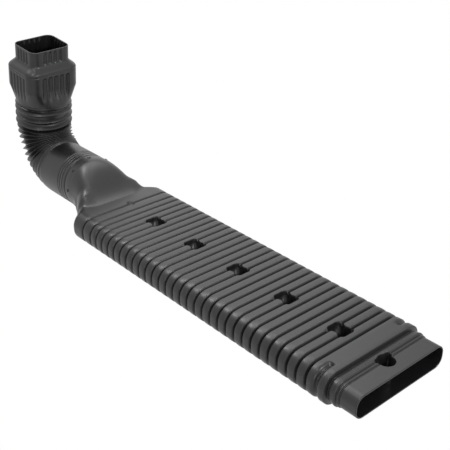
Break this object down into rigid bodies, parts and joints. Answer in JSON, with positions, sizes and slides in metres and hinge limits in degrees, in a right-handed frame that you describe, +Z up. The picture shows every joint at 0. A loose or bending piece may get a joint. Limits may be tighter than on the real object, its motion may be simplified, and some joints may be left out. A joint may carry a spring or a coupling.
{
  "type": "downspout extension",
  "caption": "Low-profile ribbed drainage channel with a bellows elbow and a rectangular downspout adapter, carrying roof water along the ground",
  "frame": {"origin": "On the ground plane, under the axis of the middle one of the five wells in the channel's roof", "axes": "+X runs along the channel towards its outlet, +Y across it, +Z up, with the adapter's socket opening upward"},
  "size_m": [1.02, 0.21, 0.3178],
  "materials": {
    "channel_plastic": "black blow-moulded polyethylene, satin",
    "elbow_plastic": "black blow-moulded polyethylene, satin",
    "adapter_plastic": "black blow-moulded polyethylene, satin"
  },
  "bodies": {
    "root": {"low_profile_channel": "channel_plastic", "flexible_elbow": "elbow_plastic", "downspout_adapter": "adapter_plastic"}
  },
  "joints": []
}
